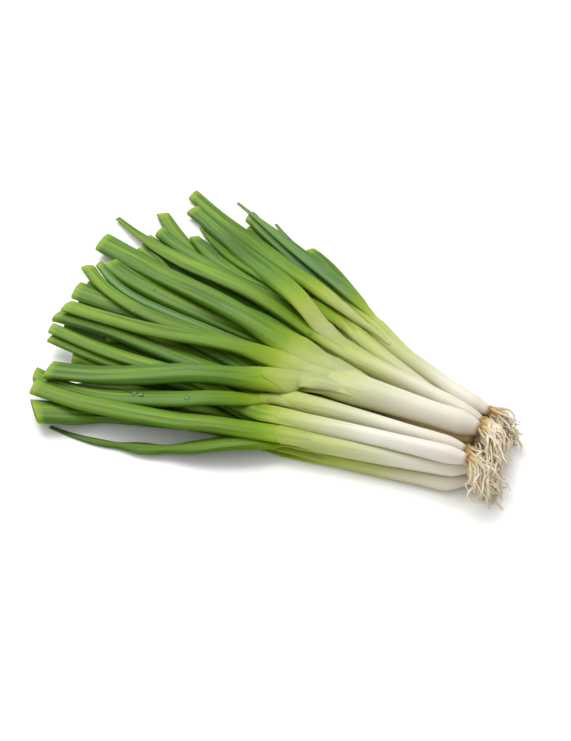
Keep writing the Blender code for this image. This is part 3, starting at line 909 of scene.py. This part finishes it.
# %% Nodes that grow the strands
def group_inputs(tree, sockets):
    """The outputs of a tree's input node, once its sockets are made with their names, kinds and values."""
    for name, kind, value in sockets:
        socket = tree.interface.new_socket(name, in_out="INPUT", socket_type=kind)
        if value is not None:
            socket.default_value = value
    tree.interface.new_socket("Geometry", in_out="OUTPUT", socket_type="NodeSocketGeometry")
    return add_node(tree, "NodeGroupInput").outputs


def finish_group(tree, mesh, material):
    """Shades a mesh smooth, makes its instances real and gives it its material, as the tree's output."""
    smooth = add_node(tree, "GeometryNodeSetShadeSmooth", {"Geometry": mesh})
    real = add_node(tree, "GeometryNodeRealizeInstances", {"Geometry": smooth})
    done = add_node(tree, "GeometryNodeSetMaterial", {"Geometry": real, "Material": material})
    add_node(tree, "NodeGroupOutput", {"Geometry": done})


def strand_nodes():
    """The tree that turns a tuft's middle line into root strands."""
    tree = bpy.data.node_groups.new("root strands", "GeometryNodeTree")
    given = group_inputs(tree, (
        ("Geometry", "NodeSocketGeometry", None),
        ("Strands", "NodeSocketInt", 30),
        ("Strand Radius", "NodeSocketFloat", 0.92 * MM),
        ("Wander", "NodeSocketFloat", 25 * MM),
        ("Pull", "NodeSocketVector", (0.0, -5 * MM, 0.0)),
        ("Curl Size", "NodeSocketFloat", 15 * MM),
        ("Floor", "NodeSocketFloat", 0.9 * MM),
        ("Seed", "NodeSocketInt", 0),
        ("Material", "NodeSocketMaterial", None),
    ))
    line = add_node(tree, "GeometryNodeMeshToCurve", {"Mesh": given["Geometry"]})
    line = add_node(tree, "GeometryNodeResampleCurve", {"Curve": line, "Count": 20})
    amount = {"Geometry": line, "Amount": given["Strands"]}
    copies = add_node(tree, "GeometryNodeDuplicateElements", amount, domain="SPLINE")
    label = {"Geometry": copies, "Name": "strand", "Value": copies.outputs["Duplicate Index"]}
    strands = add_node(tree, "GeometryNodeStoreNamedAttribute", label, data_type="INT", domain="CURVE")
    strand = add_node(tree, "GeometryNodeInputNamedAttribute", {"Name": "strand"}, data_type="INT")

    def chance(low, high, offset):
        """A random number for each strand, between low and high. Every offset gives other numbers."""
        seed = add_node(tree, "ShaderNodeMath", {0: given["Seed"], 1: float(offset)}, operation="ADD")
        return add_node(tree, "FunctionNodeRandomValue", {2: low, 3: high, "ID": strand, "Seed": seed})

    strands = add_node(tree, "GeometryNodeTrimCurve", {"Curve": strands, 3: chance(0.5, 1.0, 1)})
    strands = add_node(tree, "GeometryNodeResampleCurve", {"Curve": strands, "Count": 16})
    share = add_node(tree, "GeometryNodeSplineParameter")
    label = {"Geometry": strands, "Name": "share", "Value": share}
    strands = add_node(tree, "GeometryNodeStoreNamedAttribute", label, data_type="FLOAT", domain="POINT")

    # Each strand keeps to its own place in the tuft's round section, evenly spread by the square root.
    room = add_node(tree, "GeometryNodeInputNamedAttribute", {"Name": "room"})
    normal = add_node(tree, "GeometryNodeInputNormal")
    tangent = add_node(tree, "GeometryNodeInputTangent")
    beside = add_node(tree, "ShaderNodeVectorMath", {0: tangent, 1: normal}, operation="CROSS_PRODUCT")
    angle = chance(0.0, 2 * math.pi, 2)
    out = add_node(tree, "ShaderNodeMath", {0: chance(0.0, 1.0, 3)}, operation="SQRT")
    out = add_node(tree, "ShaderNodeMath", {0: out, 1: room}, operation="MULTIPLY")
    pushes = []
    for way, turn in ((normal, "COSINE"), (beside, "SINE")):
        part = add_node(tree, "ShaderNodeMath", {0: angle}, operation=turn)
        part = add_node(tree, "ShaderNodeMath", {0: part, 1: out}, operation="MULTIPLY")
        pushes.append((way, part))

    # It curls by noise that is read at another place for each strand, more and more towards its tip.
    position = add_node(tree, "GeometryNodeInputPosition")
    own = {0: (0.731, 0.413, 0.977), "Scale": strand}
    own = add_node(tree, "ShaderNodeVectorMath", own, operation="SCALE")
    curls = add_node(tree, "ShaderNodeMath", {0: 1.0, 1: given["Curl Size"]}, operation="DIVIDE")
    place = add_node(tree, "ShaderNodeVectorMath", {0: position, "Scale": curls}, operation="SCALE")
    place = add_node(tree, "ShaderNodeVectorMath", {0: place, 1: own}, operation="ADD")
    noise = add_node(tree, "ShaderNodeTexNoise", {"Vector": place, "Scale": 1.0, "Detail": 1.2})
    centred = {0: noise.outputs["Color"], 1: (0.5, 0.5, 0.5)}
    curl = add_node(tree, "ShaderNodeVectorMath", centred, operation="SUBTRACT")
    curled = add_node(tree, "ShaderNodeMath", {0: share, 1: 0.8}, operation="POWER")
    curled = add_node(tree, "ShaderNodeMath", {0: curled, 1: given["Wander"]}, operation="MULTIPLY")
    pulled = add_node(tree, "ShaderNodeMath", {0: share, 1: 1.5}, operation="POWER")

    pushes += [(curl, curled), (given["Pull"], pulled)]
    moved = position
    for way, amount in pushes:
        push = add_node(tree, "ShaderNodeVectorMath", {0: way, "Scale": amount}, operation="SCALE")
        moved = add_node(tree, "ShaderNodeVectorMath", {0: moved, 1: push}, operation="ADD")
    parts = add_node(tree, "ShaderNodeSeparateXYZ", {"Vector": moved}).outputs
    lifted = {0: parts["Z"], 1: given["Floor"], 2: 1 * MM}
    lifted = add_node(tree, "ShaderNodeMath", lifted, operation="SMOOTH_MAX")
    whole = add_node(tree, "ShaderNodeCombineXYZ", {"X": parts["X"], "Y": parts["Y"], "Z": lifted})
    strands = add_node(tree, "GeometryNodeSetPosition", {"Geometry": strands, "Position": whole})

    narrowing = add_node(tree, "ShaderNodeMath", {0: share, 1: -0.5, 2: 1.0}, operation="MULTIPLY_ADD")
    thick = add_node(tree, "ShaderNodeMath", {0: narrowing, 1: chance(0.65, 1.25, 4)}, operation="MULTIPLY")
    thick = add_node(tree, "ShaderNodeMath", {0: thick, 1: given["Strand Radius"]}, operation="MULTIPLY")
    section = {"Resolution": 6, "Radius": 1.0}
    section = add_node(tree, "GeometryNodeCurvePrimitiveCircle", section, mode="RADIUS")
    tube = {"Curve": strands, "Profile Curve": section, "Scale": thick, "Fill Caps": True}
    finish_group(tree, add_node(tree, "GeometryNodeCurveToMesh", tube), given["Material"])
    return tree


def grown(name, mesh, tree, settings):
    """The piece that the node tree makes from a mesh, as a plain mesh."""
    start = bpy.data.objects.new(name + "_start", mesh)
    bpy.context.scene.collection.objects.link(start)
    modifier = start.modifiers.new("grow", "NODES")
    modifier.node_group = tree
    sockets = [item for item in tree.interface.items_tree if item.in_out == "INPUT"]
    identifiers = {socket.name: socket.identifier for socket in sockets}
    for label, value in settings.items():
        modifier[identifiers[label]] = value
    shown = bpy.data.meshes.new_from_object(start.evaluated_get(bpy.context.evaluated_depsgraph_get()))
    bpy.data.objects.remove(start)
    shown.name = name
    piece = bpy.data.objects.new(name, shown)
    bpy.context.scene.collection.objects.link(piece)
    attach(piece, "root")
    return piece


# %% Root strands
ROOT_CUTS = 6
PATH_POINTS = 14
PATH_REACHES_BACK = 2.0 * MM
ROOM_SPREAD = 1.3
ROOM_AT_PLATE = 0.9
SEED_STEP = 17
# Which way each tuft's tips are pulled, in millimetres: most hang down over the edge of the heap.
PULLS = {
    1: (-4, -2, 0), 2: (-4, -3, 0), 3: (-2, -10, 0), 4: (-2, -8, 0), 5: (1, 3, 2), 6: (-5, -3, 0),
    7: (-4, -6, 0), 8: (0, -7, 1), 9: (-6, -6, 0), 10: (-4, -7, 0), 11: (-1, -12, 0),
}

strand_tree = strand_nodes()
for number, stem in stems.items():
    rows, _ = read_stalk(f"onion_{number}_roots", 1.0, ROOT_CUTS)
    path = refine(rows, PATH_POINTS)
    direction = unit(path[1, 0:3] - path[0, 0:3])
    inside_plate = path[0, 0:3] - direction * PATH_REACHES_BACK
    points = np.vstack([inside_plate, path[:, 0:3]]) + stem["bend"]
    room = path[:, 9:].mean(1) * ROOM_SPREAD
    room = np.concatenate([[room[0] * ROOM_AT_PLATE], room])
    mesh = bpy.data.meshes.new(f"root_path_{number}")
    mesh.from_pydata(points.tolist(), [(k, k + 1) for k in range(len(points) - 1)], [])
    mesh.attributes.new("room", "FLOAT", "POINT").data.foreach_set("value", room.astype(np.float32))
    pull = [value * MM for value in PULLS[number]]
    settings = {"Seed": SEED_STEP * number, "Pull": pull, "Material": root_material}
    tuft = grown(f"root_strands_{number}", mesh, strand_tree, settings)
    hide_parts(f"onion_{number}_roots")
print("triangles in the last tuft, about:", 2 * len(tuft.data.polygons))

# %% [markdown]
# The bunch has been rinsed, and a few small drops of water still lie on the leaves. A small drop on a waxy
# leaf is a flattened bead. Geometry Nodes put one bead at each place, turned to the leaf's surface. The
# places are where sight lines through points of the photograph meet the leaves.

# %% Where the drops lie
PICTURE_WIDTH = 571
PICTURE_HEIGHT = 741
# Each drop's place in the photograph, in pixels, and its radius in millimetres.
DROPS = (
    (134, 393, 2.4), (141, 395, 1.8), (127, 392, 1.3), (187, 398, 1.6), (133, 310, 1.0), (120, 306, 0.8),
    (310, 333, 1.9), (215, 259, 0.9), (155, 290, 1.0), (118, 278, 0.8), (97, 292, 0.9), (303, 335, 0.7),
    (262, 334, 0.7), (170, 262, 0.7), (225, 332, 0.6), (204, 343, 0.6), (143, 396, 0.8),
)


def sight(x, y):
    """The direction from the camera through a point of the photograph."""
    turn = camera.rotation_euler.to_matrix()
    across = (x - PICTURE_WIDTH / 2) * SENSOR / PICTURE_HEIGHT
    down = (y - PICTURE_HEIGHT / 2) * SENSOR / PICTURE_HEIGHT
    return (turn @ Vector((across, -down, -LENS))).normalized()


surfaces = []
for skin in skins.values():
    faces = [face.vertices for face in skin.data.polygons]
    surfaces.append(BVHTree.FromPolygons([v.co for v in skin.data.vertices], faces))
found = []
for x, y, radius in DROPS:
    hits = [surface.ray_cast(camera.location, sight(x, y)) for surface in surfaces]
    hits = [hit for hit in hits if hit[0] is not None]
    if hits:
        point, normal, _, _ = min(hits, key=lambda hit: hit[3])
        found.append((point, normal, radius * MM))
places = bpy.data.meshes.new("drop_places")
places.from_pydata([point for point, _, _ in found], [], [])
facing = np.array([normal for _, normal, _ in found], dtype=np.float32)
places.attributes.new("facing", "FLOAT_VECTOR", "POINT").data.foreach_set("vector", facing.ravel())
radii = np.array([radius for _, _, radius in found], dtype=np.float32)
places.attributes.new("bead_radius", "FLOAT", "POINT").data.foreach_set("value", radii)
print("drops that lie on a leaf:", len(found))

# %% Water drops
WATER_IOR = 1.333
FLATTENED = 0.38

# Clean water is clear and perfectly smooth, so a drop is seen by its bright glint and its dark rim.
water, tree = new_material("clear water")
finish = {"Base Color": linear("#FFFFFF"), "Roughness": 0.03, "IOR": WATER_IOR, "Transmission Weight": 1.0}
shader = add_node(tree, "ShaderNodeBsdfPrincipled", finish)
add_node(tree, "ShaderNodeOutputMaterial", {"Surface": shader})


def bead_nodes():
    """The tree that puts a flattened bead at each point."""
    tree = bpy.data.node_groups.new("beads of water", "GeometryNodeTree")
    given = group_inputs(tree, (
        ("Geometry", "NodeSocketGeometry", None),
        ("Flatness", "NodeSocketFloat", FLATTENED),
        ("Roundness", "NodeSocketInt", 3),
        ("Material", "NodeSocketMaterial", None),
    ))
    ball = add_node(tree, "GeometryNodeMeshIcoSphere", {"Radius": 1.0, "Subdivisions": given["Roundness"]})
    flat = add_node(tree, "ShaderNodeCombineXYZ", {"X": 1.0, "Y": 1.0, "Z": given["Flatness"]})
    bead = add_node(tree, "GeometryNodeTransform", {"Geometry": ball, "Scale": flat})
    facing = {"Name": "facing"}
    facing = add_node(tree, "GeometryNodeInputNamedAttribute", facing, data_type="FLOAT_VECTOR")
    turned = add_node(tree, "FunctionNodeAlignRotationToVector", {"Vector": facing}, axis="Z")
    radius = add_node(tree, "GeometryNodeInputNamedAttribute", {"Name": "bead_radius"})
    points = add_node(tree, "GeometryNodeMeshToPoints", {"Mesh": given["Geometry"]}, mode="VERTICES")
    placing = {"Points": points, "Instance": bead, "Rotation": turned, "Scale": radius}
    finish_group(tree, add_node(tree, "GeometryNodeInstanceOnPoints", placing), given["Material"])
    return tree


drops = grown("water_drops", places, bead_nodes(), {"Material": water})
print("triangles in the drops:", len(drops.data.polygons))
